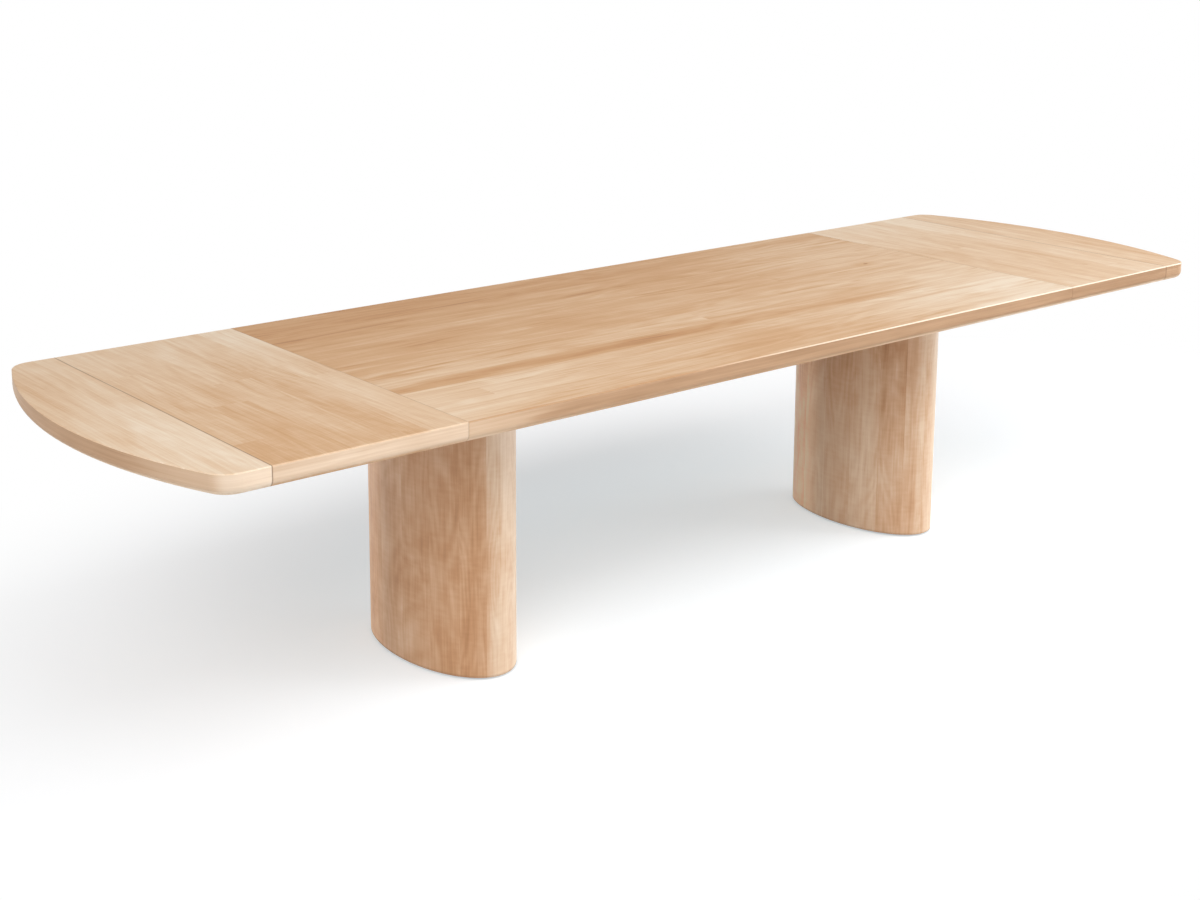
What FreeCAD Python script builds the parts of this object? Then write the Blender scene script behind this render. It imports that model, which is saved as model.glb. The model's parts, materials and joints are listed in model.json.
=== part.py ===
"""Extending dining table with two leaves, on two hollow oval pedestals.

The origin is on the floor under the middle of the table. X runs along the
top, Y across it and Z up, all in millimetres. The table is drawn open, with
a leaf in place between the main top and each curved end.
"""

import FreeCAD, Part
import math
import os

Vector = FreeCAD.Vector
UP = Vector(0, 0, 1)
ALONG = Vector(1, 0, 0)
ACROSS = Vector(0, 1, 0)

# Top
table_height = 760.0
top_width = 1051.0
main_length = 2127.0
leaf_width = 471.5
end_reach = 212.5
end_radius = 1320.0
corner_radius = 60.0
panel_thickness = 26.0
rim_depth = 47.0
rim_width = 52.0
rim_bevel = 2.0
rim_roll = 19.0
rim_inner_corner = 25.0
seam_gap = 0.5

# Slide rails and their guides
rail_width = 45.0
rail_height = 45.0
rail_end_gap = 6.0
rail_clearance = 0.4
groove_depth = 8.5
groove_height = 11.0
guide_width = 22.0
guide_height = 40.0
guide_setback = 14.0
guide_pedestal_gap = 11.0
tongue_clearance = 0.5
pull_travel = 60.0
crossbar_width = 40.0
crossbar_height = 30.0
crossbar_gap = 8.0
tenon_length = 12.0
tenon_shoulder = 7.0
centre_batten_width = 30.0
centre_batten_height = 22.0
centre_batten_margin = 70.0
centre_batten_gap = 3.0

# Stop blocks and their slots
stop_length = 16.0
stop_width = 12.0
stop_height = 12.0
stop_side_clearance = 1.0
stop_floor_clearance = 2.0
stop_slot_wall = 16.0

# Keys that locate the leaves
key_length = 36.0
key_width = 10.0
key_rise = 12.0
key_grip = 13.0
key_inset = 92.0
key_clearance = 0.3
key_head_gap = 2.0

# Pedestals
pedestal_inset = 285.5
pedestal_depth = 274.0
pedestal_width = 508.0
pedestal_wall = 20.0
mounting_board_thickness = 18.0
mounting_board_length = 322.0
mounting_board_setback = 4.0
bottom_board_thickness = 22.0
bottom_board_fit = 0.1
glide_length = 44.0
glide_width = 22.0
glide_height = 5.0
glide_taper = 2.0
glide_share = 0.6
bolt_radius = 4.0
bolt_hole_radius = 4.5
bolt_head_sides = 6
bolt_head_width = 13.0
bolt_head_height = 6.0
bolt_grip = 16.0
bolt_inset_x = 24.0
bolt_inset_y = 38.0

# Lever latches
latch_offset = 182.0
latch_pivot_inset = 30.0
latch_stud_inset = 30.0
latch_plate_length = 44.0
latch_plate_width = 34.0
latch_plate_thickness = 3.0
latch_lever_thickness = 4.0
latch_play = 0.4
latch_pivot_radius = 4.0
latch_pivot_clearance = 0.05
latch_pivot_head_radius = 7.0
latch_pivot_head_height = 2.0
latch_arm_width = 18.0
latch_finger_width = 7.0
latch_throat_depth = 8.0
latch_mouth_angle = 9.0
latch_root_angle = 12.0
latch_tail_length = 34.0
latch_tab_height = 14.0
stud_radius = 3.0
stud_throat_clearance = 1.4
stud_plate_length = 34.0
stud_plate_width = 24.0

# Overrun of every cutting tool past the face it cuts
overrun = 1.0

# Heights worked out from the sizes above
panel_under = table_height - panel_thickness
rim_under = table_height - rim_depth
rail_top = panel_under - rail_clearance
rail_under = rail_top - rail_height
rail_middle = rail_top - rail_height / 2
board_under = panel_under - mounting_board_thickness
crossbar_under = rail_middle - crossbar_height / 2
crossbar_top = rail_middle + crossbar_height / 2
lever_top = panel_under - latch_plate_thickness - latch_play
lever_under = lever_top - latch_lever_thickness

# Places along the top, to the right of the middle
half_width = top_width / 2
main_edge = main_length / 2
leaf_inner = main_edge + seam_gap
leaf_outer = leaf_inner + leaf_width
end_inner = leaf_outer + seam_gap
end_tip = end_inner + end_reach
end_centre = end_tip - end_radius
closing_travel = leaf_width + seam_gap
pedestal_x = main_edge - pedestal_inset

# Places of the rails and guides at the back right
guide_inner_y = pedestal_width / 2 + guide_pedestal_gap
rail_inner_y = guide_inner_y + guide_width + tongue_clearance
rail_outer_y = rail_inner_y + rail_width
rail_y = (rail_inner_y + rail_outer_y) / 2
guide_outer_y = rail_outer_y + tongue_clearance + guide_width
rail_inner_x = centre_batten_width / 2 + centre_batten_gap + closing_travel
rail_outer_x = end_centre + math.sqrt((end_radius - rim_width) ** 2 - rail_outer_y ** 2) - rail_end_gap
crossbar_x = rail_inner_x + crossbar_width
guide_inner_x = crossbar_x + pull_travel + crossbar_gap
guide_outer_x = main_edge - guide_setback
stop_x = rail_inner_x + stop_slot_wall + pull_travel

# Places of the latch at the back right
pivot_x = main_edge - latch_pivot_inset
stud_x = leaf_inner + latch_stud_inset
lever_radius = stud_x - pivot_x
throat_half_width = stud_radius + stud_throat_clearance

SIDES = {"left": -1, "right": 1}
FLANKS = {"front": -1, "back": 1}


def box(x_low, x_high, y_low, y_high, z_low, z_high):
    """Block between two corners."""
    corner = Vector(x_low, y_low, z_low)
    return Part.makeBox(x_high - x_low, y_high - y_low, z_high - z_low, corner)


def rod(radius, x, y, z_low, z_high):
    """Upright cylinder."""
    return Part.makeCylinder(radius, z_high - z_low, Vector(x, y, z_low))


def face_inside(runs):
    """Flat face inside runs of two points, a line, or of three, an arc."""
    edges = []
    for run in runs:
        curve = Part.Arc(*run) if len(run) == 3 else Part.LineSegment(*run)
        edges.append(curve.toShape())
    return Part.Face(Part.Wire(edges))


def corner_arc(place, across, up, radius, start, end):
    """Arc of a corner round (across, up), from one angle to another, in degrees."""
    middle = (start + end) / 2
    angles = [math.radians(angle) for angle in (start, middle, end)]
    return [place(across + radius * math.cos(a), up + radius * math.sin(a)) for a in angles]


def flipped_x(shape):
    """Copy on the other side of the table's middle."""
    return shape.mirror(Vector(0, 0, 0), ALONG)


def flipped_y(shape):
    """Copy on the other flank of the table."""
    return shape.mirror(Vector(0, 0, 0), ACROSS)


def on_side(shape, side):
    """The right-hand shape, or its mirror image for the left."""
    return shape if SIDES[side] > 0 else flipped_x(shape)


def on_flank(shape, flank):
    """The back shape, or its mirror image for the front."""
    return shape if FLANKS[flank] > 0 else flipped_y(shape)


def both_flanks(shapes):
    """The back shapes and their mirror images on the front flank."""
    return shapes + [flipped_y(shape) for shape in shapes]


def both_sides(shapes):
    """The right-hand shapes and their mirror images on the left."""
    return shapes + [flipped_x(shape) for shape in shapes]


# Top

def plank(x_low, x_high, under):
    """Stretch of the top whose long edges are deeper than its panel and rolled under."""
    def place(y, z):
        return Vector(x_low, y, z)

    flat = half_width - rim_roll
    bevel = half_width - rim_bevel
    inner = half_width - rim_width
    bevel_z = table_height - rim_bevel
    roll_z = rim_under + rim_roll
    section = face_inside([
        [place(-bevel, table_height), place(bevel, table_height)],
        [place(bevel, table_height), place(half_width, bevel_z)],
        [place(half_width, bevel_z), place(half_width, roll_z)],
        corner_arc(place, flat, roll_z, rim_roll, 0, -90),
        [place(flat, rim_under), place(inner, rim_under)],
        [place(inner, rim_under), place(inner, under)],
        [place(inner, under), place(-inner, under)],
        [place(-inner, under), place(-inner, rim_under)],
        [place(-inner, rim_under), place(-flat, rim_under)],
        corner_arc(place, -flat, roll_z, rim_roll, -90, -180),
        [place(-half_width, roll_z), place(-half_width, bevel_z)],
        [place(-half_width, bevel_z), place(-bevel, table_height)],
    ])
    return section.extrude(ALONG * (x_high - x_low))


def end_outline(z, side_y, arc_radius, round_radius):
    """Outline of a curved end: straight sides, round corners and one flat arc."""
    def place(x, y):
        return Vector(x, y, z)

    round_y = side_y - round_radius
    round_x = end_centre + math.sqrt((arc_radius - round_radius) ** 2 - round_y ** 2)
    lean = math.degrees(math.atan2(round_y, round_x - end_centre))
    right = corner_arc(place, round_x, round_y, round_radius, 90, lean)
    tip = corner_arc(place, end_centre, 0, arc_radius, lean, -lean)
    left = corner_arc(place, round_x, -round_y, round_radius, -lean, -90)
    return face_inside([
        [place(end_inner, -side_y), place(end_inner, side_y)],
        [place(end_inner, side_y), right[0]],
        right,
        tip,
        left,
        [left[2], place(end_inner, -side_y)],
    ])


def end_piece():
    """Right curved end: its rim goes round it, and its underside is cut back to the panel."""
    solid = end_outline(rim_under, half_width, end_radius, corner_radius).extrude(UP * rim_depth)
    free = [edge for edge in solid.Edges if edge.BoundBox.XMax > end_inner + seam_gap]
    rolled = [edge for edge in free if edge.BoundBox.ZMax < rim_under + seam_gap]
    bevelled = [edge for edge in free if edge.BoundBox.ZMin > table_height - seam_gap]
    solid = solid.makeFillet(rim_roll, rolled)
    solid = solid.makeChamfer(rim_bevel, bevelled)
    pocket = end_outline(rim_under - overrun, half_width - rim_width, end_radius - rim_width,
                         rim_inner_corner)
    pocket = pocket.extrude(UP * (rail_top - rim_under + overrun))
    mouth = box(end_inner - overrun, end_inner + overrun, rim_width - half_width,
                half_width - rim_width, rim_under - overrun, rail_top)
    return solid.cut(pocket.fuse(mouth))


def main_top():
    """Fixed middle of the top, with blind holes for the pedestals' bolts."""
    holes = [rod(bolt_hole_radius, x, y, panel_under - overrun, panel_under + bolt_grip)
             for x, y in bolt_places()]
    return plank(-main_edge, main_edge, panel_under).cut(both_sides(both_flanks(holes)))


def leaf():
    """Right leaf, which rests on the rails, with slots for the keys in them."""
    slots = [key(x, key_clearance, rail_top - overrun, rail_top + key_rise + key_head_gap)
             for x in key_places()]
    return plank(leaf_inner, leaf_outer, rail_top).cut(both_flanks(slots))


# Rails and guides

def key_places():
    """Two places along the leaf for the keys that stand in a rail."""
    return [leaf_inner + key_inset, leaf_outer - key_inset]


def key(x, clearance, z_low, z_high):
    """Upright key in the right back rail, or the slot that leaves it this clearance."""
    half_length = key_length / 2 + clearance
    half_key = key_width / 2 + clearance
    return box(x - half_length, x + half_length, rail_y - half_key, rail_y + half_key, z_low, z_high)


def slide_rail():
    """Right back rail: a groove on each side, a stop slot along its top and two keyways."""
    rail = box(rail_inner_x, rail_outer_x, rail_inner_y, rail_outer_y, rail_under, rail_top)
    groove_low = rail_middle - groove_height / 2
    groove_high = rail_middle + groove_height / 2
    slot_half_width = stop_width / 2 + stop_side_clearance
    slot_start = stop_x - pull_travel - stop_length / 2
    slot_end = stop_x + closing_travel + stop_length / 2
    slot_floor = panel_under - stop_height - stop_floor_clearance
    keyways = [key(x, 0, rail_top - key_grip, rail_top + overrun) for x in key_places()]
    return rail.cut(keyways + [
        box(rail_inner_x - overrun, rail_outer_x + overrun, rail_inner_y - overrun,
            rail_inner_y + groove_depth, groove_low, groove_high),
        box(rail_inner_x - overrun, rail_outer_x + overrun, rail_outer_y - groove_depth,
            rail_outer_y + overrun, groove_low, groove_high),
        box(slot_start, slot_end, rail_y - slot_half_width, rail_y + slot_half_width,
            slot_floor, rail_top + overrun),
        tenon(),
    ])


def tenon():
    """Back tenon of the crossbar, which fills its mortise in the rail."""
    return box(rail_inner_x + tenon_shoulder, crossbar_x - tenon_shoulder, rail_inner_y,
               rail_inner_y + tenon_length, crossbar_under + tenon_shoulder,
               crossbar_top - tenon_shoulder)


def crossbar():
    """Right crossbar between the inner ends of both rails, with a tenon at each end."""
    bar = box(rail_inner_x, crossbar_x, -rail_inner_y, rail_inner_y, crossbar_under, crossbar_top)
    return bar.fuse(both_flanks([tenon()])).removeSplitter()


def guide(back_y, face_y):
    """Right back guide batten, whose tongue runs in the groove of the rail beside its face."""
    def place(y, z):
        return Vector(guide_inner_x, y, z)

    reach = groove_depth - tongue_clearance
    tip_y = face_y + math.copysign(reach, face_y - back_y)
    low = rail_middle - groove_height / 2 + tongue_clearance
    high = rail_middle + groove_height / 2 - tongue_clearance
    bottom = panel_under - guide_height
    corners = [place(back_y, panel_under), place(face_y, panel_under), place(face_y, high),
               place(tip_y, high), place(tip_y, low), place(face_y, low), place(face_y, bottom),
               place(back_y, bottom)]
    section = Part.Face(Part.makePolygon(corners + corners[:1]))
    return section.extrude(ALONG * (guide_outer_x - guide_inner_x))


def inner_guide():
    """Guide between the rail and the pedestal."""
    return guide(guide_inner_y, guide_inner_y + guide_width)


def outer_guide():
    """Guide between the rail and the rim."""
    return guide(guide_outer_y, guide_outer_y - guide_width)


def stop_blocks():
    """Blocks under the right half of the main top, which stop both rails in their slots."""
    return both_flanks([box(stop_x - stop_length / 2, stop_x + stop_length / 2,
                            rail_y - stop_width / 2, rail_y + stop_width / 2,
                            panel_under - stop_height, panel_under)])


def locating_keys():
    """Keys in both right-hand rails, which place the leaf."""
    return both_flanks([key(x, 0, rail_top - key_grip, rail_top + key_rise) for x in key_places()])


def centre_batten():
    """Batten across the middle of the main top, between the closed rails."""
    half_length = half_width - rim_width - centre_batten_margin
    return box(-centre_batten_width / 2, centre_batten_width / 2, -half_length, half_length,
               panel_under - centre_batten_height, panel_under)


# Pedestals

def oval(inset, z_low, z_high):
    """Upright oval block on the right pedestal's axis, this far inside its outer face."""
    half_x = pedestal_depth / 2 - inset
    half_y = pedestal_width / 2 - inset
    rim = Part.Ellipse(Vector(0, 0, 0), max(half_x, half_y), min(half_x, half_y)).toShape()
    if half_y > half_x:
        rim.rotate(Vector(0, 0, 0), UP, 90)
    rim.translate(Vector(pedestal_x, 0, z_low))
    return Part.Face(Part.Wire([rim])).extrude(UP * (z_high - z_low))


def pedestal_shell():
    """Hollow oval pedestal, open at both ends."""
    inside = oval(pedestal_wall, glide_height - overrun, board_under + overrun)
    return oval(0, glide_height, board_under).cut(inside)


def bottom_board():
    """Oval board that closes the foot of the shell and carries the glides."""
    return oval(pedestal_wall + bottom_board_fit, glide_height, glide_height + bottom_board_thickness)


def bolt_places():
    """Bolt places in the back half of the mounting board, outside the oval."""
    reach_x = mounting_board_length / 2 - bolt_inset_x
    y = pedestal_width / 2 - mounting_board_setback - bolt_inset_y
    return [(pedestal_x - reach_x, y), (pedestal_x + reach_x, y)]


def mounting_board():
    """Board between the right pedestal and the main top, drilled for four bolts."""
    half_x = mounting_board_length / 2
    half_y = pedestal_width / 2 - mounting_board_setback
    board = box(pedestal_x - half_x, pedestal_x + half_x, -half_y, half_y, board_under, panel_under)
    return board.cut(both_flanks([rod(bolt_hole_radius, x, y, board_under - overrun,
                                      panel_under + overrun) for x, y in bolt_places()]))


def mounting_bolts():
    """Hexagon bolts up through the mounting board into the main top."""
    bolts = []
    for x, y in bolt_places():
        centre = Vector(x, y, board_under - bolt_head_height)
        corners = [centre + head_corner(number) for number in range(bolt_head_sides)]
        head = Part.Face(Part.makePolygon(corners + corners[:1])).extrude(UP * bolt_head_height)
        shank = rod(bolt_radius, x, y, board_under, panel_under + bolt_grip)
        bolts.append(head.fuse(shank))
    return both_flanks(bolts)


def head_corner(number):
    """Step from the middle of a bolt's head to one of its corners."""
    half_turn = math.pi / bolt_head_sides
    radius = bolt_head_width / 2 / math.cos(half_turn)
    angle = 2 * half_turn * number
    return Vector(radius * math.cos(angle), radius * math.sin(angle), 0)


def floor_glides():
    """Four tapered glides under the right pedestal's bottom board."""
    half_x = glide_length / 2
    half_y = glide_width / 2
    reach_x = (pedestal_depth / 2 - pedestal_wall) * glide_share
    reach_y = (pedestal_width / 2 - pedestal_wall) * glide_share
    glides = []
    for x in (pedestal_x - reach_x, pedestal_x + reach_x):
        glide = Part.makeWedge(glide_taper - half_x, 0, glide_taper - half_y, -half_y, -half_x,
                               half_x - glide_taper, glide_height, half_y - glide_taper, half_y, half_x)
        glide.rotate(Vector(0, 0, 0), ALONG, 90)
        glide.translate(Vector(x, reach_y, 0))
        glides.append(glide)
    return both_flanks(glides)


# Lever latches

def latch_plates():
    """Base plates of both right-hand latches, each with its riveted pivot."""
    plate = box(pivot_x - latch_plate_length / 2, pivot_x + latch_plate_length / 2,
                latch_offset - latch_plate_width / 2, latch_offset + latch_plate_width / 2,
                panel_under - latch_plate_thickness, panel_under)
    head_top = lever_under - latch_play
    head_under = head_top - latch_pivot_head_height
    pivot = rod(latch_pivot_radius, pivot_x, latch_offset, head_top, panel_under - latch_plate_thickness)
    head = rod(latch_pivot_head_radius, pivot_x, latch_offset, head_under, head_top)
    return both_flanks([plate.fuse([pivot, head])])


def sector(radius_low, radius_high, angle_low, angle_high, z_low, z_high):
    """Part of a ring round the back latch's pivot, between two angles in degrees."""
    def place(x, y):
        return Vector(x, y, z_low)

    outer = corner_arc(place, pivot_x, latch_offset, radius_high, angle_low, angle_high)
    inner = corner_arc(place, pivot_x, latch_offset, radius_low, angle_high, angle_low)
    face = face_inside([outer, [outer[2], inner[0]], inner, [inner[2], outer[0]]])
    return face.extrude(UP * (z_high - z_low))


def latch_lever():
    """Right back lever, open, with a curved throat that closes round the stud."""
    inner = lever_radius - throat_half_width
    outer = lever_radius + throat_half_width
    throat_angle = math.degrees(throat_half_width / lever_radius)
    half_arm = latch_arm_width / 2
    tail_x = pivot_x - latch_tail_length
    arm = box(tail_x, pivot_x + inner - latch_play, latch_offset - half_arm,
              latch_offset + half_arm, lever_under, lever_top)
    tab = box(tail_x, tail_x + latch_lever_thickness, latch_offset - half_arm,
              latch_offset + half_arm, lever_top - latch_tab_height, lever_top)
    head = sector(inner - latch_throat_depth, outer + latch_finger_width, -latch_root_angle,
                  latch_mouth_angle, lever_under, lever_top)
    bore = rod(latch_pivot_radius + latch_pivot_clearance, pivot_x, latch_offset,
               lever_under - overrun, lever_top + overrun)
    throat = sector(inner, outer, -throat_angle, latch_mouth_angle + throat_angle,
                    lever_under - overrun, lever_top + overrun)
    lever = arm.fuse([tab, head]).cut([bore, throat]).removeSplitter()
    lever.rotate(Vector(pivot_x, latch_offset, 0), UP, -90)
    return lever


def latch_studs():
    """Plates with a stud under the right leaf, which the levers hook round."""
    plate = box(stud_x - stud_plate_width / 2, stud_x + stud_plate_width / 2,
                latch_offset - stud_plate_length / 2, latch_offset + stud_plate_length / 2,
                rail_top - latch_plate_thickness + latch_play, rail_top)
    stud = rod(stud_radius, stud_x, latch_offset, lever_under - latch_pivot_head_height,
               rail_top - latch_plate_thickness + latch_play)
    return both_flanks([plate.fuse(stud)])


# Pieces and files

def mirrored_parts():
    """Right-hand pieces that have a mirror image on the left, by name."""
    return {
        "end_piece": end_piece(),
        "leaf": leaf(),
        "crossbar": crossbar(),
        "locating_keys": Part.makeCompound(locating_keys()),
        "latch_plates": Part.makeCompound(latch_plates()),
        "latch_studs": Part.makeCompound(latch_studs()),
        "stop_blocks": Part.makeCompound(stop_blocks()),
        "pedestal_shell": pedestal_shell(),
        "pedestal_bottom_board": bottom_board(),
        "mounting_board": mounting_board(),
        "mounting_bolts": Part.makeCompound(mounting_bolts()),
        "floor_glides": Part.makeCompound(floor_glides()),
    }


def cornered_parts():
    """Right back pieces that have an image at all four corners, by name."""
    return {
        "rail": slide_rail(),
        "inner_guide": inner_guide(),
        "outer_guide": outer_guide(),
        "latch_lever": latch_lever(),
    }


def all_parts():
    """Every piece of the table by name."""
    parts = {"main_top": main_top(), "centre_batten": centre_batten()}
    for name, shape in mirrored_parts().items():
        for side in SIDES:
            parts[f"{side}_{name}"] = on_side(shape, side)
    for name, shape in cornered_parts().items():
        for side in SIDES:
            for flank in FLANKS:
                parts[f"{side}_{flank}_{name}"] = on_side(on_flank(shape, flank), side)
    return parts


os.makedirs("parts", exist_ok=True)
for name, shape in all_parts().items():
    shape.exportStep(f"parts/{name}.step")
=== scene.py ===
"""Extending dining table in pale wood: finishes, eased rails, screws, floor, lights and camera."""

import json
import math

import bmesh
import bpy
from mathutils import Matrix, Vector


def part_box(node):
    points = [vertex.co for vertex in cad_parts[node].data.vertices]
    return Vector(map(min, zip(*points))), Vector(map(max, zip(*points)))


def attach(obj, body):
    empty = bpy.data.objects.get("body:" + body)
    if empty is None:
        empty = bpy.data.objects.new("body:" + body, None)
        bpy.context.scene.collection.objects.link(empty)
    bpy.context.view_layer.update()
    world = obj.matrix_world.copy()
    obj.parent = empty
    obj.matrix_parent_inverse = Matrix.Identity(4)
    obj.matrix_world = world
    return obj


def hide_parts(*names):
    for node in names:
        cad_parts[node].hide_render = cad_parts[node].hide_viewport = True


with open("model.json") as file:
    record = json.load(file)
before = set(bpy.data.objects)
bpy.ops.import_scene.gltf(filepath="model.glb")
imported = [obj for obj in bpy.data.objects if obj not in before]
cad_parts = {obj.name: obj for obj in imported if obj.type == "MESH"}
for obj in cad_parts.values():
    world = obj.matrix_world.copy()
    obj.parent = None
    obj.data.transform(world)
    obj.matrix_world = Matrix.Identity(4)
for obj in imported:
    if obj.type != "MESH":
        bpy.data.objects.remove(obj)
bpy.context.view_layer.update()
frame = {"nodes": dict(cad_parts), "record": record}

# Camera, fitted to the photograph with the table at its real size
CAMERA_PLACE = (-3.1797, -3.5026, 1.8700)
CAMERA_YAW = 39.737
CAMERA_PITCH = -10.900
CAMERA_ROLL = 0.381
CAMERA_LENS = 53.46
CAMERA_SENSOR = 36.0
CAMERA_SHIFT = -0.18
CAMERA_REACH = 200.0

# Places that the finishes and screws follow, in metres
MAIN_EDGE = 1.0635
LEAF_INNER = 1.0640
LEAF_OUTER = 1.5355
END_INNER = 1.5360
HALF_WIDTH = 0.5255
TOP = 0.760
PEDESTAL_X = 0.778
PEDESTAL_RADII = (0.137, 0.254)
LATCH_Y = 0.182
PLATE_UNDER = 0.731
SIDES = (("left", -1), ("right", 1))

# Where the arris's painted highlight and brown line and a seam's shade start and end, in metres
# from the edge, top and seam
ARRIS_INSET = (0.0046, 0.0026)
ARRIS_DROP = (0.0034, 0.0014)
SEAM_REACH = (0.0020, 0.0006)

# Marks on the main top
STREAK_Y = -0.228
KNOT_PLACE = (0.84, 0.067)
CROSSED_FIGURE_PLACE = (-0.05, -0.41)

# Surface of the finished wood
WOOD_IOR = 1.46
GRAIN_DEPTH = 0.00012

# Bevel on the slide rails' outer ends
RAIL_EASE = 0.010


def srgb(red, green, blue):
    """Linear colour from screen values of 0 to 255."""
    def linear(value):
        share = value / 255
        return share / 12.92 if share <= 0.04045 else ((share + 0.055) / 1.055) ** 2.4
    return (linear(red), linear(green), linear(blue), 1.0)


# Colours of the materials, each from its darkest tone to its lightest
PLANK_COLOURS = [
    (0.00, srgb(158, 104, 60)),
    (0.30, srgb(198, 147, 98)),
    (0.52, srgb(212, 169, 126)),
    (0.74, srgb(229, 197, 163)),
    (1.00, srgb(245, 226, 202)),
]
EDGE_COLOURS = [
    (0.00, srgb(128, 94, 66)),
    (0.30, srgb(162, 126, 94)),
    (0.52, srgb(186, 150, 118)),
    (0.74, srgb(210, 180, 151)),
    (1.00, srgb(240, 219, 196)),
]
PEDESTAL_COLOURS = [
    (0.00, srgb(156, 105, 66)),
    (0.30, srgb(193, 145, 104)),
    (0.52, srgb(211, 171, 136)),
    (0.74, srgb(226, 198, 169)),
    (1.00, srgb(243, 221, 198)),
]
RAIL_COLOURS = [
    (0.15, srgb(170, 122, 84)),
    (0.50, srgb(205, 162, 120)),
    (0.85, srgb(224, 188, 148)),
]
BOARD_COLOURS = [
    (0.20, srgb(190, 150, 108)),
    (0.50, srgb(212, 176, 134)),
    (0.80, srgb(228, 198, 160)),
]
STEEL_COLOURS = [
    (0.2, srgb(150, 152, 154)),
    (0.8, srgb(196, 197, 196)),
]
# Painted highlight along the top's long arrises, and the brown line on the main top's left half
ARRIS_HIGHLIGHT = srgb(250, 236, 216)
BROWN_ARRIS = srgb(166, 122, 86)
SEAM_COLOUR = srgb(106, 70, 44)
FOOT_COLOUR = srgb(120, 84, 58)
DARK_PLY = srgb(142, 100, 66)
NYLON = srgb(38, 38, 39)
SCUFFED_NYLON = srgb(74, 74, 74)
# Gain of the painted light on the pedestals' back left faces
BACK_LEFT_PAINTED_LIGHT = (1.55, 1.52, 1.45, 1.0)
WHITE = (1.0, 1.0, 1.0, 1.0)


class Nodes:
    """Node tree that is built from short calls, which return sockets."""

    def __init__(self, tree):
        self.tree = tree
        self.tree.nodes.clear()

    def node(self, kind, inputs=None, **settings):
        """New node, with its settings and its inputs, which are numbers or sockets."""
        made = self.tree.nodes.new(kind)
        for key, value in settings.items():
            setattr(made, key, value)
        for key, value in (inputs or {}).items():
            self.feed(made.inputs[key], value)
        return made

    def feed(self, socket, value):
        """Links a socket, or sets a plain value."""
        if isinstance(value, bpy.types.NodeSocket):
            self.tree.links.new(value, socket)
        else:
            socket.default_value = value

    def math(self, operation, first, second=0.0, third=0.0):
        """Result of a Math node."""
        inputs = {0: first, 1: second, 2: third}
        return self.node("ShaderNodeMath", inputs, operation=operation).outputs[0]

    def choose(self, share, first, second):
        """Shader mixed from two shaders."""
        return self.node("ShaderNodeMixShader", {0: share, 1: first, 2: second}).outputs[0]

    def direct(self):
        """1 for rays from the camera, a reflection or a clear surface, and 0 for others."""
        rays = self.node("ShaderNodeLightPath").outputs
        bounced = self.math("MAXIMUM", rays["Is Glossy Ray"], rays["Is Transmission Ray"])
        return self.math("MAXIMUM", rays["Is Camera Ray"], bounced)


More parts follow.
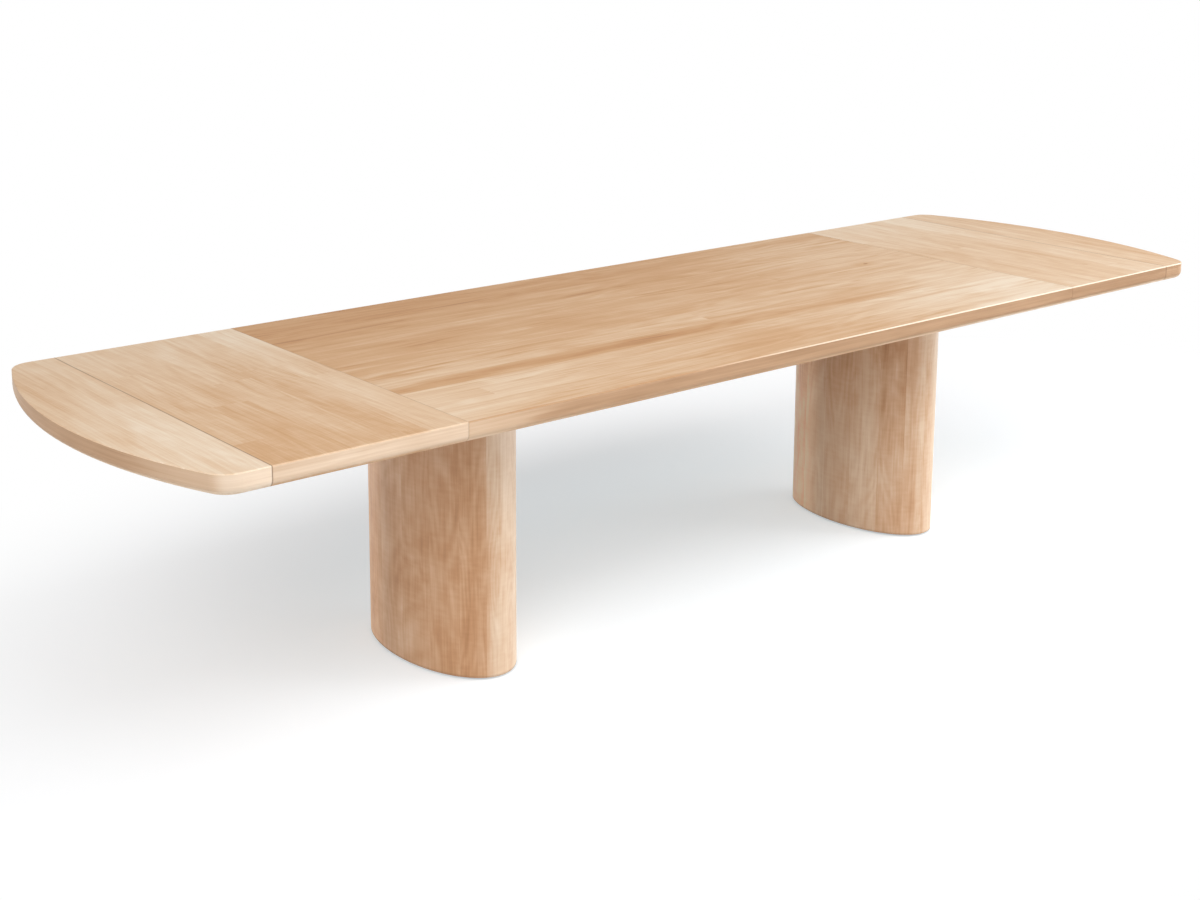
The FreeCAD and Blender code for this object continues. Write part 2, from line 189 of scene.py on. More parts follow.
class Shader(Nodes):
    """Node tree of one material, with the place and the normal of the surface."""

    def __init__(self, name):
        self.material = bpy.data.materials.new(name)
        self.material.use_nodes = True
        super().__init__(self.material.node_tree)
        coordinates = self.node("ShaderNodeTexCoord")
        self.place = coordinates.outputs["Object"]
        self.x, self.y, self.z = self.split(self.place)
        self.normal = self.split(coordinates.outputs["Normal"])

    def split(self, vector):
        """The three parts of a vector."""
        made = self.node("ShaderNodeSeparateXYZ", {0: vector})
        return made.outputs[0], made.outputs[1], made.outputs[2]

    def join(self, x, y, z):
        """Vector from its three parts."""
        return self.node("ShaderNodeCombineXYZ", {0: x, 1: y, 2: z}).outputs[0]

    def length(self, x, y):
        """Length of a vector that lies in the plane."""
        inputs = {0: self.join(x, y, 0.0)}
        return self.node("ShaderNodeVectorMath", inputs, operation="LENGTH").outputs["Value"]

    def absolute(self, value):
        """Value without its sign."""
        return self.math("ABSOLUTE", value)

    def add(self, *values):
        """Sum of two or more values."""
        total = values[0]
        for value in values[1:]:
            total = self.math("ADD", total, value)
        return total

    def times(self, first, second):
        """Product of two values."""
        return self.math("MULTIPLY", first, second)

    def scaled(self, value, factor, offset):
        """Value times a factor, plus an offset."""
        return self.math("MULTIPLY_ADD", value, factor, offset)

    def swing(self, value, amount):
        """A 0 to 1 value turned into one that swings round zero by this amount."""
        return self.times(self.math("SUBTRACT", value, 0.5), amount)

    def step(self, value, low, high):
        """Smooth step from 0 at low to 1 at high, which may lie below low."""
        inputs = {"Value": value, "From Min": low, "From Max": high}
        made = self.node("ShaderNodeMapRange", inputs, interpolation_type="SMOOTHSTEP")
        return made.outputs["Result"]

    def noise(self, vector, scale=1.0, detail=2.0, roughness=0.5, distortion=0.0):
        """Soft noise of 0 to 1."""
        inputs = {"Vector": vector, "Scale": scale, "Detail": detail, "Roughness": roughness,
                  "Distortion": distortion}
        return self.node("ShaderNodeTexNoise", inputs).outputs["Fac"]

    def random(self, value):
        """One random value for each whole number."""
        made = self.node("ShaderNodeTexWhiteNoise", {"W": value}, noise_dimensions="1D")
        return made.outputs["Value"]

    def mix(self, share, first, second, blend="MIX"):
        """Colour mixed from two colours."""
        made = self.node("ShaderNodeMix", {0: share, 6: first, 7: second}, data_type="RGBA",
                         blend_type=blend)
        return made.outputs[2]

    def between(self, share, first, second):
        """Number between two numbers."""
        inputs = {0: share, 2: first, 3: second}
        return self.node("ShaderNodeMix", inputs, data_type="FLOAT").outputs[0]

    def ramp(self, share, stops):
        """Colours along a scale, as (place, colour) stops."""
        made = self.node("ShaderNodeValToRGB", {0: share})
        elements = made.color_ramp.elements
        while len(elements) < len(stops):
            elements.new(1.0)
        for element, (place, colour) in zip(elements, stops):
            element.position = place
            element.color = colour
        return made.outputs[0]

    def finish(self, colour, roughness, height, depth, **constants):
        """Ends the tree in a surface with this colour, roughness and relief in metres."""
        bump = self.node("ShaderNodeBump", {"Height": height, "Distance": depth, "Strength": 1.0})
        inputs = {"Base Color": colour, "Roughness": roughness, "Normal": bump.outputs[0]}
        inputs.update({key.replace("_", " "): value for key, value in constants.items()})
        surface = self.node("ShaderNodeBsdfPrincipled", inputs)
        self.node("ShaderNodeOutputMaterial", {"Surface": surface.outputs[0]})
        return self.material


# Wood. A tone is a place on a list of colours, and the finishes add small amounts to it.

# Numbers that keep the random draws of boards, their lengths and the pedestals' staves apart
BOARD_STRIDE = 17.0
LENGTH_TONE_DRAW = 3.3
LENGTH_SHIFTS = 40.0
SIDE_STRIDE = 20.3
STAVE_SHIFT_DRAW = 9.3
STAVE_SHIFTS = 30.0

# Staves in each radian round a pedestal, and metres of grain in it
STAVES = 2.55
AROUND = 0.2


def streaks(shader, along, across, deep, shift, length, width, detail=3.0, distortion=0.0):
    """Noise drawn out along the grain, with features about this long and wide in metres."""
    vector = shader.join(shader.scaled(along, 1 / length, shift),
                         shader.scaled(across, 1 / width, shift),
                         shader.times(deep, 1 / width))
    return shader.noise(vector, detail=detail, distortion=distortion)


def grain(shader, along, across, deep, shift, look):
    """Tone of one board's grain, with the fine lines and the wider lines that it holds."""
    def layer(place, length, width, detail, distortion=0.0):
        return streaks(shader, along, place, deep, shift, length, width, detail, distortion)

    # Length and width in metres, detail and distortion of each layer
    bend = layer(across, 0.42, 0.20, 1.0)
    bent = shader.add(across, shader.swing(bend, look["bend"]))
    fine = layer(bent, 0.09, 0.0017, 2.0)
    lines = layer(bent, look["line"], 0.0065, 3.0, 0.3)
    bands = layer(bent, 0.80, 0.042, 2.0, 0.3)
    figure = layer(bent, look["patch"], 0.055, 2.5, 0.8)
    ripple = layer(across, 0.010, 0.050, 1.5)
    contour = layer(across, 0.55, 0.11, 1.5)
    rings = shader.math("SINE", shader.times(contour, look["rings"]))
    arches = shader.scaled(rings, 0.5, 0.5)
    tone = shader.add(
        shader.swing(fine, look["fine"]), shader.swing(lines, look["lines"]),
        shader.swing(bands, look["bands"]), shader.swing(figure, look["figure"]),
        shader.swing(ripple, look["ripple"]), shader.swing(arches, look["arches"]))
    streak = layer(bent, 0.55, 0.030, 3.5, 1.1)
    mineral = shader.step(streak, 0.56, 0.74)
    return shader.add(tone, shader.times(mineral, -look["mineral"])), fine, lines


def waxed(shader, colour, fine, lines, line_swing, roughness, specular):
    """Finished wood, whose roughness and relief follow the lines of its grain."""
    rough = shader.add(shader.swing(lines, line_swing), shader.swing(fine, 0.08), roughness)
    height = shader.add(shader.times(fine, 0.6), shader.times(lines, 0.4))
    return shader.finish(colour, rough, height, GRAIN_DEPTH, IOR=WOOD_IOR,
                         Specular_IOR_Level=specular)


def seam_shade(shader, seams):
    """Darkness close to seams, given as their distance from the middle and their strength."""
    distance = shader.absolute(shader.x)
    shade = 0.0
    for place, strength in seams:
        gap = shader.absolute(shader.math("SUBTRACT", distance, place))
        dark = shader.times(shader.step(gap, *SEAM_REACH), strength)
        shade = shader.math("MAXIMUM", shade, dark)
    return shade


def boards(shader, across, joints, tones):
    """Number and tone of the board at a place, from the boards' joints and tones."""
    number, tone = 0.0, tones[0]
    for joint, before, after in zip(joints, tones, tones[1:]):
        past = shader.math("GREATER_THAN", across, joint)
        number = shader.add(past, number)
        tone = shader.scaled(past, after - before, tone)
    return number, tone


def arris_highlight_and_line(shader, colour):
    """Colour with a painted highlight along the top's long arrises, and a brown line along them on
    the main top's left half.
    """
    x, y, z = shader.x, shader.y, shader.z
    inset, drop = ARRIS_INSET, ARRIS_DROP
    at_side = shader.step(shader.absolute(y), HALF_WIDTH - inset[0], HALF_WIDTH - inset[1])
    at_top = shader.step(z, TOP - drop[0], TOP - drop[1])
    on_main = shader.math("GREATER_THAN", x, -MAIN_EDGE)
    brown = shader.times(shader.step(x, -0.1, -0.5), on_main)
    # Share of the painted highlight, strongest towards the right, and of the brown line
    arris_share = shader.add(shader.between(shader.step(x, -0.5, 0.4), 0.25, 0.85),
                        shader.times(brown, 0.3))
    share = shader.times(shader.times(at_side, at_top), arris_share)
    return shader.mix(share, colour, shader.mix(brown, ARRIS_HIGHLIGHT, BROWN_ARRIS))


def plank_wood(name, grain_axis, joints, tones, look, seams, seed):
    """Pale solid wood glued up from boards, with its edges' grain running round the table."""
    shader = Shader(name)
    x, y, z = shader.x, shader.y, shader.z
    along, across = (x, y) if grain_axis == "X" else (y, x)
    board, board_tone = boards(shader, across, joints, tones)

    # Each board is cut into lengths, with their own grain and tone
    length_place = shader.scaled(along, 1 / look["length"], shader.random(board))
    length = shader.add(shader.times(board, BOARD_STRIDE), shader.math("FLOOR", length_place))
    length_tone = shader.random(shader.add(length, LENGTH_TONE_DRAW))
    shift = shader.times(shader.random(shader.add(length, seed)), LENGTH_SHIFTS)

    face, fine, lines = grain(shader, along, across, z, shift, look)
    slow = shader.noise(shader.join(shader.times(x, 1.3), shader.times(y, 2.0), seed), detail=1.0)
    face = shader.add(face, shader.swing(length_tone, look["lengths"]), board_tone,
                      shader.swing(slow, look["slow"]))
    face = look["face"](shader, face)
    edge = grain(shader, shader.add(x, y), z, 0.0, seed, EDGE_LOOK)[0]
    edge = look["edge"](shader, edge)

    share = shader.step(shader.absolute(shader.normal[2]), 0.35, 0.75)
    colour = shader.mix(share, shader.ramp(edge, EDGE_COLOURS), shader.ramp(face, PLANK_COLOURS))
    # Painted highlight and brown line along the long arrises
    colour = arris_highlight_and_line(shader, colour)
    colour = shader.mix(seam_shade(shader, seams), colour, SEAM_COLOUR)
    return waxed(shader, colour, fine, lines, 0.10, 0.50, 0.22)


def on_left(shader):
    """1 on the left leaf and end piece, and 0 on the right ones."""
    return shader.step(shader.x, 1.0, -1.0)


def main_face(shader, tone):
    """The main top is lighter towards the right, most of all on its far boards, which is painted
    light; its near boards are lighter at both ends, and it has a mineral streak, a small knot
    and a patch of crossed figure."""
    x, y = shader.x, shader.y
    far = shader.step(y, 0.10, 0.40)
    right = shader.step(x, -0.9, 1.0)
    near = shader.step(y, -0.15, -0.42)
    ends = shader.step(shader.absolute(x), 0.15, 0.95)
    # Painted light: lighter towards the right and on the far right boards; near boards lighter at
    # both ends
    tone = shader.add(tone, shader.times(shader.times(far, right), 0.06),
                      shader.times(shader.times(near, ends), 0.16),
                      shader.times(shader.step(x, 0.2, 1.0), 0.20))
    wave = shader.noise(shader.join(shader.times(x, 3.5), 0.0, 6.0), detail=3.0)
    waver = shader.swing(wave, 0.050)
    off_streak = shader.absolute(shader.add(y, waver, -STREAK_Y))
    streak = shader.times(shader.step(off_streak, 0.034, 0.004), shader.step(x, 0.75, -0.35))
    off_knot = shader.length(shader.times(shader.add(x, -KNOT_PLACE[0]), 0.55),
                             shader.add(y, -KNOT_PLACE[1]))
    knot = shader.step(off_knot, 0.007, 0.002)
    halo = shader.step(off_knot, 0.045, 0.006)
    off_figure = shader.length(shader.times(shader.add(x, -CROSSED_FIGURE_PLACE[0]), 0.5),
                               shader.add(y, -CROSSED_FIGURE_PLACE[1], waver))
    figure = shader.step(off_figure, 0.12, 0.02)
    return shader.add(tone, shader.times(streak, -0.20), shader.times(knot, -0.45),
                      shader.times(halo, -0.08), shader.times(figure, -0.10), 0.54)


def main_edge(shader, tone):
    """The main top's edge gets lighter towards the left leaf."""
    left = shader.step(shader.x, 0.2, -1.0)
    by_leaf = shader.step(shader.x, -0.70, -1.05)
    return shader.add(tone, shader.times(left, 0.08), shader.times(by_leaf, 0.22), 0.43)


def leaf_face(shader, tone):
    """The left leaf is darker than the right one, and most of all at its near corner; both leaves
    get painted light towards the back.
    """
    left = on_left(shader)
    near = shader.step(shader.y, 0.15, -0.40)
    light_strip = shader.step(shader.absolute(shader.x), 1.20, 1.13)
    far = shader.step(shader.y, 0.0, 0.50)
    dark = shader.scaled(near, -0.12, -0.04)
    # The far lift is painted light, lighter towards the back
    return shader.add(tone, shader.times(left, dark),
                      shader.times(shader.times(left, light_strip), 0.07),
                      shader.times(far, 0.13), shader.times(near, 0.05), 0.70)


def leaf_edge(shader, tone):
    """The left leaf's edge is lighter than the right one's."""
    return shader.add(tone, shader.times(on_left(shader), 0.43), 0.38)


def end_face(shader, tone):
    """The left end piece gets lighter towards its near corner."""
    near = shader.step(shader.y, 0.25, -0.30)
    lift = shader.scaled(near, 0.15, 0.01)
    return shader.add(tone, shader.times(on_left(shader), lift), 0.69)


def end_edge(shader, tone):
    """Painted light by facing: the left curve is lighter towards its corners, where it turns to
    face front and back, and the right one where it faces right, just past its corners.
    """
    # Painted light from the normal: faces turned front or back, and faces turned right, are lighter
    turned = shader.absolute(shader.normal[1])
    lift = shader.add(shader.times(shader.step(turned, 0.14, 0.38), 0.26),
                      shader.times(shader.step(turned, 0.4, 0.9), 0.20))
    right = shader.step(shader.normal[0], 0.02, 0.45)
    return shader.add(tone, shader.times(lift, on_left(shader)), shader.times(right, 0.22), 0.46)


# Looks: length in metres of the figure and of the lines, growth rings, bend in metres, and the
# contrast of each layer. The tops' looks add the length of a board's pieces and the contrast
# between pieces and over the whole top.
EDGE_LOOK = {
    "patch": 0.25, "line": 0.5, "rings": 0.0, "bend": 0.0,
    "fine": 0.14, "lines": 0.26, "bands": 0.34, "figure": 0.20,
    "ripple": 0.0, "arches": 0.0, "mineral": 0.10,
}
PEDESTAL_LOOK = {
    "patch": 0.16, "line": 0.30, "rings": 90.0, "bend": 0.022,
    "fine": 0.26, "lines": 0.24, "bands": 0.20, "figure": 0.30,
    "ripple": 0.14, "arches": 0.07, "mineral": 0.08,
}
MAIN_LOOK = {
    "patch": 0.36, "line": 0.6, "rings": 60.0, "bend": 0.030,
    "fine": 0.26, "lines": 0.26, "bands": 0.24, "figure": 0.42,
    "ripple": 0.06, "arches": 0.06, "mineral": 0.20,
    "length": 6.0, "lengths": 0.0, "slow": 0.26,
    "face": main_face, "edge": main_edge,
}
LEAF_LOOK = {
    "patch": 0.24, "line": 0.5, "rings": 50.0, "bend": 0.018,
    "fine": 0.26, "lines": 0.28, "bands": 0.24, "figure": 0.20,
    "ripple": 0.10, "arches": 0.06, "mineral": 0.10,
    "length": 0.62, "lengths": 0.025, "slow": 0.14,
    "face": leaf_face, "edge": leaf_edge,
}
END_LOOK = {
    "patch": 0.24, "line": 0.5, "rings": 50.0, "bend": 0.020,
    "fine": 0.26, "lines": 0.34, "bands": 0.28, "figure": 0.22,
    "ripple": 0.08, "arches": 0.06, "mineral": 0.06,
    "length": 6.0, "lengths": 0.0, "slow": 0.12,
    "face": end_face, "edge": end_edge,
}

# Joints between boards, in metres from the middle, and the tone of each board
MAIN_JOINTS = [-0.415, -0.320, -0.262, -0.190, -0.072, 0.020, 0.155, 0.260, 0.367]
MAIN_TONES = [0.01, 0.05, 0.06, -0.04, 0.04, -0.02, -0.05, -0.06, -0.13, -0.20]
LEAF_JOINTS = [-1.445, -1.352, -1.255, -1.160, 0.0, 1.168, 1.290, 1.405, 1.500]
LEAF_TONES = [-0.02, -0.03, 0.01, -0.02, 0.03, 0.00, 0.01, -0.01, 0.06, 0.02]
END_JOINTS = [-1.655, 0.0, 1.640]
END_TONES = [-0.03, 0.04, 0.03, -0.03]


def pedestal_painted_light(shader, around):
    """Painted light: tone added at the front right by height, against the shade under the top, low
    on the right pedestal's flank, and in front.
    """
    z = shader.z
    front = shader.times(shader.step(around, -0.50, 0.35), shader.step(around, 2.4, 0.7))
    high_painted_light = shader.add(
        shader.times(shader.step(z, 0.15, 0.60), shader.scaled(front, 0.10, 0.015)),
        shader.times(shader.step(z, 0.50, 0.66), shader.times(front, 0.20)))
    on_right = shader.math("GREATER_THAN", shader.x, 0.0)
    flank = shader.times(shader.step(around, -0.30, -0.70), on_right)
    low = shader.step(z, 0.60, 0.25)
    flank_painted_light = shader.times(flank, shader.scaled(low, 0.16, 0.03))
    return high_painted_light, flank_painted_light, shader.times(front, 0.36)


def pedestal_wood():
    """Upright staves round an oval, browner than the top, with arches, blotches and small knots,
    and painted light at the front, higher up and on the back left.
    """
    shader = Shader("pedestal_wood")
    z = shader.z
    side = shader.math("SIGN", shader.x)
    x = shader.math("SUBTRACT", shader.x, shader.times(side, PEDESTAL_X))
    around = shader.math("ARCTAN2", shader.times(x, 1 / PEDESTAL_RADII[0]),
                         shader.times(shader.y, -1 / PEDESTAL_RADII[1]))
    across = shader.times(around, AROUND)

    stave = shader.math("FLOOR", shader.add(shader.times(around, STAVES),
                                            shader.times(side, SIDE_STRIDE)))
    stave_tone = shader.random(stave)
    stave_shift = shader.times(shader.random(shader.add(stave, STAVE_SHIFT_DRAW)), STAVE_SHIFTS)
    shift = shader.add(stave_shift, side)
    tone, fine, lines = grain(shader, z, across, 0.0, shift, PEDESTAL_LOOK)
    blotch_place = shader.join(shader.times(across, 11.0), shader.times(z, 5.5), side)
    blotches = shader.noise(blotch_place, detail=3.0, distortion=0.7)
    # The lifts are painted light, at the front and against the shade under the top
    tone = shader.add(tone, shader.swing(stave_tone, 0.16), shader.swing(blotches, 0.40),
                      *pedestal_painted_light(shader, around), 0.45)

    knot_place = shader.join(shader.times(across, 9.0), shader.times(z, 4.5), side)
    cells = shader.node("ShaderNodeTexVoronoi", {"Vector": knot_place, "Scale": 1.0}).outputs
    rare = shader.step(shader.split(cells["Color"])[0], 0.80, 0.84)
    knot = shader.times(shader.step(cells["Distance"], 0.075, 0.03), rare)
    halo = shader.times(shader.step(cells["Distance"], 0.20, 0.08), rare)
    tone = shader.add(tone, shader.times(knot, -0.45), shader.times(halo, 0.10))

    colour = shader.ramp(tone, PEDESTAL_COLOURS)
    # Painted light: the back left faces are lighter, as if lit from behind on the left
    back_left_painted_light = shader.step(shader.math("COSINE", shader.add(around, 2.45)), 0.74, 1.0)
    lighter = shader.mix(1.0, colour, BACK_LEFT_PAINTED_LIGHT, "MULTIPLY")
    colour = shader.mix(back_left_painted_light, colour, lighter)
    foot = shader.step(z, 0.012, 0.005)
    colour = shader.mix(shader.times(foot, 0.4), colour, FOOT_COLOUR)
    return waxed(shader, colour, fine, lines, 0.12, 0.40, 0.55)


def rail_wood():
    """Waxed beech with its short dark flecks."""
    shader = Shader("rail_wood")
    place = (shader.x, shader.y, shader.z)
    tone = streaks(shader, *place, 2.0, 0.30, 0.006, 3.0)
    flecks = shader.step(streaks(shader, *place, 7.0, 0.012, 0.0014, 1.0), 0.62, 0.70)
    tone = shader.add(tone, shader.times(flecks, -0.22))
    colour = shader.ramp(tone, RAIL_COLOURS)
    roughness = shader.add(shader.swing(tone, 0.15), 0.52)
    return shader.finish(colour, roughness, tone, 0.00015, IOR=WOOD_IOR)


def board_wood():
    """Birch plywood, with its plies on the edges."""
    shader = Shader("board_wood")
    tone = streaks(shader, shader.y, shader.x, shader.z, 3.0, 0.35, 0.03, 3.0, 0.8)
    wobble = shader.swing(shader.noise(shader.place, 9.0), 0.0006)
    ply = shader.math("FRACT", shader.times(shader.add(shader.z, wobble), 1 / 0.0028))
    on_edge = shader.step(shader.absolute(shader.normal[2]), 0.7, 0.3)
    dark_ply = shader.times(shader.step(ply, 0.45, 0.55), on_edge)
    colour = shader.ramp(tone, BOARD_COLOURS)
    colour = shader.mix(shader.times(dark_ply, 0.55), colour, DARK_PLY)
    roughness = shader.add(shader.swing(tone, 0.1), 0.62)
    height = shader.add(tone, shader.times(dark_ply, -0.3))
    return shader.finish(colour, roughness, height, 0.0002)


# Metal and nylon

def steel():
    """Zinc-plated steel, with drawn lines and a faint spangle."""
    shader = Shader("steel")
    drawn = streaks(shader, shader.x, shader.y, shader.z, 1.0, 0.02, 0.0005, 2.0)
    spangle = shader.noise(shader.place, 210.0, detail=1.0)
    tone = shader.add(shader.swing(drawn, 0.4), shader.swing(spangle, 0.5), 0.5)
    colour = shader.ramp(tone, STEEL_COLOURS)
    roughness = shader.add(shader.swing(drawn, 0.16), shader.swing(spangle, 0.12), 0.36)
    return shader.finish(colour, roughness, drawn, 0.00002, Metallic=1.0)


def glide_nylon():
    """Matt moulded nylon, scuffed where it slides."""
    shader = Shader("glide_nylon")
    pits = shader.noise(shader.place, 900.0, detail=2.0)
    scratches = streaks(shader, shader.y, shader.x, shader.z, 4.0, 0.03, 0.0012, 2.0)
    scuffs = shader.step(scratches, 0.52, 0.7)
    colour = shader.mix(shader.times(scuffs, 0.5), NYLON, SCUFFED_NYLON)
    roughness = shader.add(shader.times(scuffs, 0.15), shader.swing(pits, 0.1), 0.55)
    return shader.finish(colour, roughness, pits, 0.00005)


finishes = {
    "top_wood": plank_wood("top_wood", "X", MAIN_JOINTS, MAIN_TONES, MAIN_LOOK,
                           [(MAIN_EDGE, 0.15)], 3.4),
    "leaf_wood": plank_wood("leaf_wood", "Y", LEAF_JOINTS, LEAF_TONES, LEAF_LOOK,
                            [(LEAF_INNER, 0.15), (LEAF_OUTER, 0.5)], 8.2),
    "end_wood": plank_wood("end_wood", "Y", END_JOINTS, END_TONES, END_LOOK,
                           [(END_INNER, 0.5)], 12.7),
    "pedestal_wood": pedestal_wood(),
    "rail_wood": rail_wood(),
    "board_wood": board_wood(),
    "steel": steel(),
    "glide_nylon": glide_nylon(),
}
for subpart in frame["record"]["subparts"]:
    node = frame["nodes"][subpart["node"]]
    for slot in node.material_slots:
        slot.material = finishes[subpart["material_slot"]]


def new_object(name, mesh, material):
    """Object from a bmesh, which is freed, with one material."""
    data = bpy.data.meshes.new(name)
    mesh.to_mesh(data)
    mesh.free()
    made = bpy.data.objects.new(name, data)
    bpy.context.scene.collection.objects.link(made)
    data.materials.append(material)
    return made


# Rails

def eased_rail(node, body, outward):
    """Copy of a slide rail whose outer end is bevelled below, so that the rim hides it."""
    source = frame["nodes"][node]
    low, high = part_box(node)
    mesh = bmesh.new()
    mesh.from_mesh(source.data)
    mesh.transform(source.matrix_world)
    bmesh.ops.remove_doubles(mesh, verts=mesh.verts[:], dist=1e-5)
    end = high[0] if outward > 0 else low[0]
    bmesh.ops.bisect_plane(mesh, geom=mesh.verts[:] + mesh.edges[:] + mesh.faces[:], dist=1e-6,
                           plane_co=(end, 0, low[2] + RAIL_EASE), plane_no=(outward, 0, -1),
                           clear_outer=True)
    bmesh.ops.holes_fill(mesh, edges=[edge for edge in mesh.edges if edge.is_boundary])
    for face in mesh.faces:
        face.smooth = False
    piece = new_object(node + "_eased", mesh, finishes["rail_wood"])
    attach(piece, body)
    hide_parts(node)


for side, outward in SIDES:
    for flank in ("front", "back"):
        eased_rail(f"{side}_{flank}_rail", f"{side}_end", outward)


# Screws. A head is built from rings of points, whose radii and heights are shares of the head's.

SCREW_CORNERS = 24
HEAD_RINGS = [(1.0, 0.25), (0.86, 1.0), (0.62, 1.0)]

# Radius at the cross's arms, radius between them and height, and corners from arm to arm
RECESS_RINGS = [(0.56, 0.26, 1.0), (0.40, 0.14, 0.1)]
ARM_CORNERS = 6

# Radius and height of the heads, and the level at which they start, in metres
WOOD_SCREW = (0.004, 0.0008)
FLUSH_SCREW = (0.0032, 0.0002)
HEAD_SINK = -0.0004

# Distances of the screws from ends, seams, middles and edges, in metres
GUIDE_SCREWS = 4
GUIDE_INSET = 0.03
BATTEN_INSET = 0.05
PLATE_INSET = 0.005
PLATE_SPREAD = 0.0125
STUD_SPREAD = 0.012
SEAM_INSET = 0.030
OUTER_INSET = 0.028
INNER_INSET = 0.020
INNER_ASIDE = 0.0165


def screw_head(mesh, place, up, radius, height):
    """Countersunk screw head with a cross recess, proud of the surface that faces up."""
    turn = Vector((0, 0, 1)).rotation_difference(Vector(up)).to_matrix()
    loops = []

    def ring(reaches, level):
        loop = []
        for number, reach in enumerate(reaches):
            angle = 2 * math.pi * number / SCREW_CORNERS
            point = Vector((reach * math.cos(angle), reach * math.sin(angle), level))
            loop.append(mesh.verts.new(Vector(place) + turn @ point))
        loops.append(loop)

    ring([radius] * SCREW_CORNERS, HEAD_SINK)
    for share, rise in HEAD_RINGS:
        ring([radius * share] * SCREW_CORNERS, rise * height)
    for arm, waist, rise in RECESS_RINGS:
        ring([radius * (waist if number % ARM_CORNERS else arm) for number in range(SCREW_CORNERS)],
             rise * height)
    for lower, upper in zip(loops, loops[1:]):
        for number in range(SCREW_CORNERS):
            following = (number + 1) % SCREW_CORNERS
            mesh.faces.new((lower[number], lower[following], upper[following], upper[number]))
    mesh.faces.new(loops[-1])
    mesh.faces.new(reversed(loops[0]))


def screws(name, body, places, size):
    """One piece that holds a body's screw heads, which face down."""
    mesh = bmesh.new()
    for place in places:
        screw_head(mesh, place, (0, 0, -1), *size)
    piece = new_object(name, mesh, finishes["steel"])
    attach(piece, body)


def along_box(node, count, inset):
    """Screw places under a long piece, spread along X, this far in from its ends."""
    low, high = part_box(node)
    middle = (low[1] + high[1]) / 2
    span = high[0] - low[0] - 2 * inset
    return [(low[0] + inset + span * number / (count - 1), middle, low[2])
            for number in range(count)]


def rail_screw_places(node, sign, inward):
    """Screws of a slide rail: past the end piece's seam, at the outer end and at the inner one."""
    low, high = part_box(node)
    middle = (low[1] + high[1]) / 2
    inner, outer = (low[0], high[0]) if sign > 0 else (high[0], low[0])
    return [(sign * END_INNER + sign * SEAM_INSET, middle, low[2]),
            (outer - sign * OUTER_INSET, middle, low[2]),
            (inner + sign * INNER_INSET, middle + inward * INNER_ASIDE, low[2])]


base_places = []
for side in ("left", "right"):
    for flank in ("front", "back"):
        for guide in ("inner_guide", "outer_guide"):
            base_places += along_box(f"{side}_{flank}_{guide}", GUIDE_SCREWS, GUIDE_INSET)
low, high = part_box("centre_batten")
batten_y = high[1] - BATTEN_INSET
base_places += [(0.0, share * batten_y, low[2]) for share in (-1.0, -0.5, 0.0, 0.5, 1.0)]
screws("base_screws", "base", base_places, WOOD_SCREW)

# The latches' screws are flush, as the levers turn just under the plates
plate_places = []
for side, sign in SIDES:
    low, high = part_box(f"{side}_latch_plates")
    plate_places += [(x, row * LATCH_Y + offset, PLATE_UNDER)
                     for x in (low[0] + PLATE_INSET, high[0] - PLATE_INSET)
                     for row in (-1, 1) for offset in (-PLATE_SPREAD, PLATE_SPREAD)]
    low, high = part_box(f"{side}_latch_studs")
    stud_x = (low[0] + high[0]) / 2
    stud_places = [(stud_x, row * LATCH_Y + offset, PLATE_UNDER)
                   for row in (-1, 1) for offset in (-STUD_SPREAD, STUD_SPREAD)]
    screws(f"{side}_stud_screws", f"{side}_leaf", stud_places, FLUSH_SCREW)
    rail_places = (rail_screw_places(f"{side}_front_rail", sign, 1)
                   + rail_screw_places(f"{side}_back_rail", sign, -1))
    screws(f"{side}_rail_screws", f"{side}_end", rail_places, WOOD_SCREW)
screws("latch_plate_screws", "base", plate_places, FLUSH_SCREW)


# Floor

FLOOR_SIZE = 40.0
FLOOR_DROP = 0.0003
FLOOR_COLOUR = (0.666, 0.69, 0.718, 1.0)
FLOOR_GLOW = 0.39
SHADOW_GLOW = (0.98, 1.09, 1.135, 1.0)

# Oval round the table over which the floor turns white, and its glow cooler, in metres
OVAL_X = 0.35
OVAL_STRETCH = 1.6
WHITE_FADE = (1.35, 3.1)
SHADOW_FADE = (2.1, 0.9)


def floor_material():
    """Pale floor that shows the table's shadow and runs out into a white ground."""
    shader = Shader("floor")
    away = shader.length(shader.add(shader.x, -OVAL_X), shader.times(shader.y, OVAL_STRETCH))
    lit = shader.node("ShaderNodeBsdfDiffuse", {"Color": FLOOR_COLOUR}).outputs[0]
    # The wood warms the shadow near it, and the cooler glow makes up for that
    glow_colour = shader.mix(shader.step(away, *SHADOW_FADE), WHITE, SHADOW_GLOW)
    glow = shader.node("ShaderNodeEmission",
                       {"Color": glow_colour, "Strength": FLOOR_GLOW}).outputs[0]
    ground = shader.node("ShaderNodeAddShader", {0: lit, 1: glow}).outputs[0]
    white = shader.node("ShaderNodeEmission", {"Color": WHITE, "Strength": 1.0}).outputs[0]
    seen = shader.choose(shader.step(away, *WHITE_FADE), ground, white)
    ground = shader.choose(shader.direct(), lit, seen)
    below = shader.node("ShaderNodeNewGeometry").outputs["Backfacing"]
    open_below = shader.node("ShaderNodeBsdfTransparent").outputs[0]
    surface = shader.choose(below, ground, open_below)
    shader.node("ShaderNodeOutputMaterial", {"Surface": surface})
    return shader.material


floor_mesh = bmesh.new()
bmesh.ops.create_grid(floor_mesh, x_segments=1, y_segments=1, size=FLOOR_SIZE)
floor_piece = new_object("floor", floor_mesh, floor_material())
floor_piece.location = (0, 0, -FLOOR_DROP)


# Light

AMBIENT = 0.28

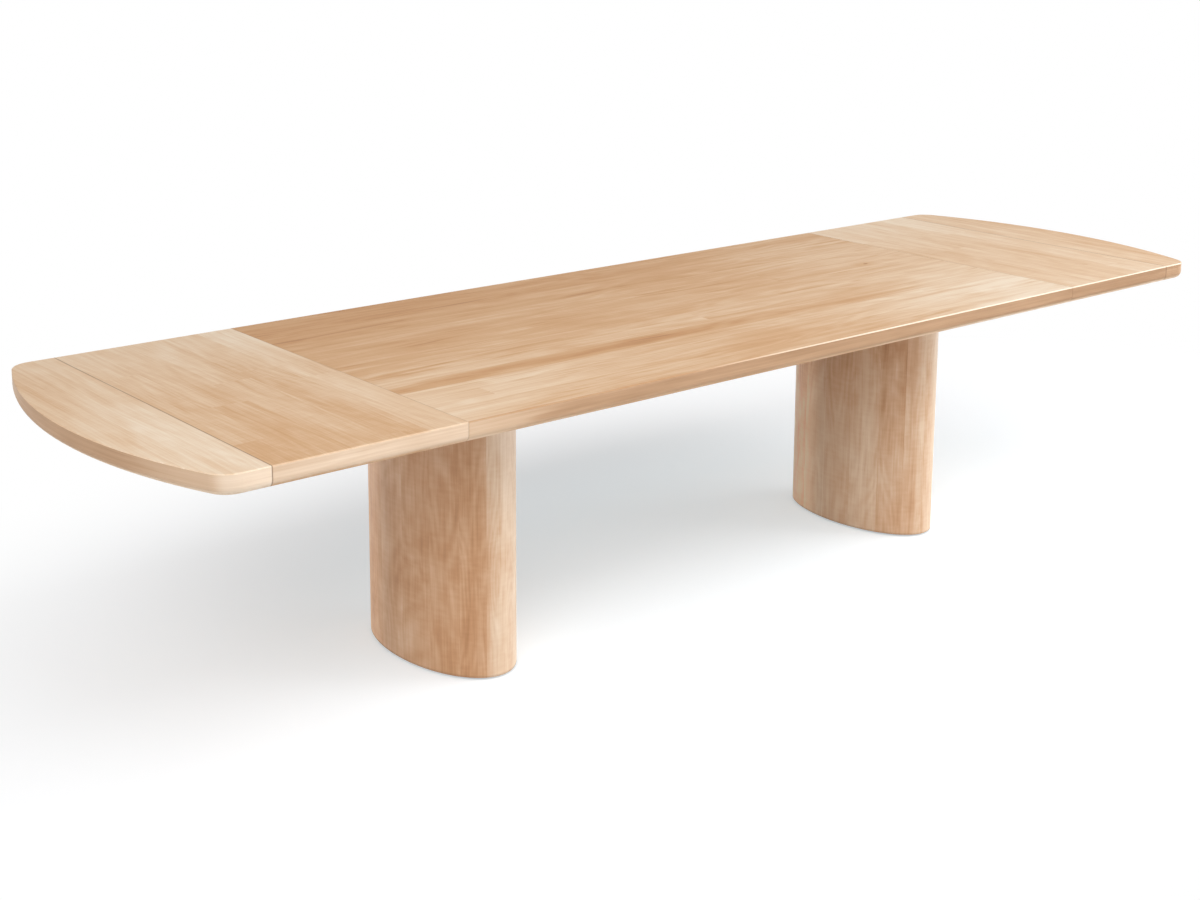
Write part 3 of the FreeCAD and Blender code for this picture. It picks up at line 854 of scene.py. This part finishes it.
# Name, place, target, width and height, power in watts, and whether the table reflects it
LAMPS = [
    ("left_key", (-5.2, -3.6, 4.0), (-0.7, 0, 0.5), (3.6, 3.0), 163, False),
    ("right_key", (5.2, -3.6, 4.0), (0.7, 0, 0.5), (3.6, 3.0), 225, False),
    ("overhead", (0, -2.9, 4.6), (0, 0, 0.6), (5.0, 2.4), 90, False),
    ("front_fill", (1.0, -5.5, 1.2), (0, 0, 0.4), (6.0, 2.0), 68, False),
    ("right_fill", (5.0, -1.4, 0.9), (0.3, 0, 0.35), (1.4, 1.8), 45, False),
    ("right_rim", (4.6, 1.9, 0.42), (0.3, 0, 0.38), (1.3, 0.6), 54, True),
    ("left_fill", (-5.2, 0.6, 0.9), (-0.6, 0, 0.35), (1.2, 1.4), 33, True),
]


def area_light(name, place, target, size, power, reflected):
    """Large soft lamp at a place, turned to a target, with or without highlights on the table."""
    data = bpy.data.lights.new(name, "AREA")
    data.shape = "RECTANGLE"
    data.size, data.size_y = size
    data.energy = power
    lamp = bpy.data.objects.new(name, data)
    lamp.location = place
    lamp.rotation_euler = (Vector(target) - Vector(place)).to_track_quat("-Z", "Y").to_euler()
    lamp.visible_camera = False
    lamp.visible_glossy = reflected
    bpy.context.scene.collection.objects.link(lamp)


def studio_world():
    """White ground where it is seen, and a dimmer white that lights the table."""
    world = bpy.data.worlds.new("studio")
    world.use_nodes = True
    nodes = Nodes(world.node_tree)
    background = "ShaderNodeBackground"
    ambient = nodes.node(background, {"Color": WHITE, "Strength": AMBIENT}).outputs[0]
    white = nodes.node(background, {"Color": WHITE, "Strength": 1.0}).outputs[0]
    surface = nodes.choose(nodes.direct(), ambient, white)
    nodes.node("ShaderNodeOutputWorld", {"Surface": surface})
    return world


for lamp in LAMPS:
    area_light(*lamp)
bpy.context.scene.world = studio_world()


# Camera

def camera_matrix():
    """Camera placed and turned by its yaw from +Y, pitch and roll."""
    yaw, pitch, roll = map(math.radians, (CAMERA_YAW, CAMERA_PITCH, CAMERA_ROLL))
    forward = Vector((math.sin(yaw) * math.cos(pitch), math.cos(yaw) * math.cos(pitch),
                      math.sin(pitch)))
    level = Vector((math.cos(yaw), -math.sin(yaw), 0))
    upright = level.cross(forward)
    right = level * math.cos(roll) + upright * math.sin(roll)
    up = upright * math.cos(roll) - level * math.sin(roll)
    turn = Matrix((right, up, -forward)).transposed().to_4x4()
    return Matrix.Translation(CAMERA_PLACE) @ turn


camera_data = bpy.data.cameras.new("camera")
camera_data.sensor_fit = "HORIZONTAL"
camera_data.sensor_width = CAMERA_SENSOR
camera_data.lens = CAMERA_LENS
camera_data.shift_y = CAMERA_SHIFT
camera_data.clip_end = CAMERA_REACH
camera = bpy.data.objects.new("camera", camera_data)
camera.matrix_world = camera_matrix()
bpy.context.scene.collection.objects.link(camera)
bpy.context.scene.camera = camera
bpy.context.scene.view_settings.view_transform = "Standard"

bpy.context.view_layer.update()
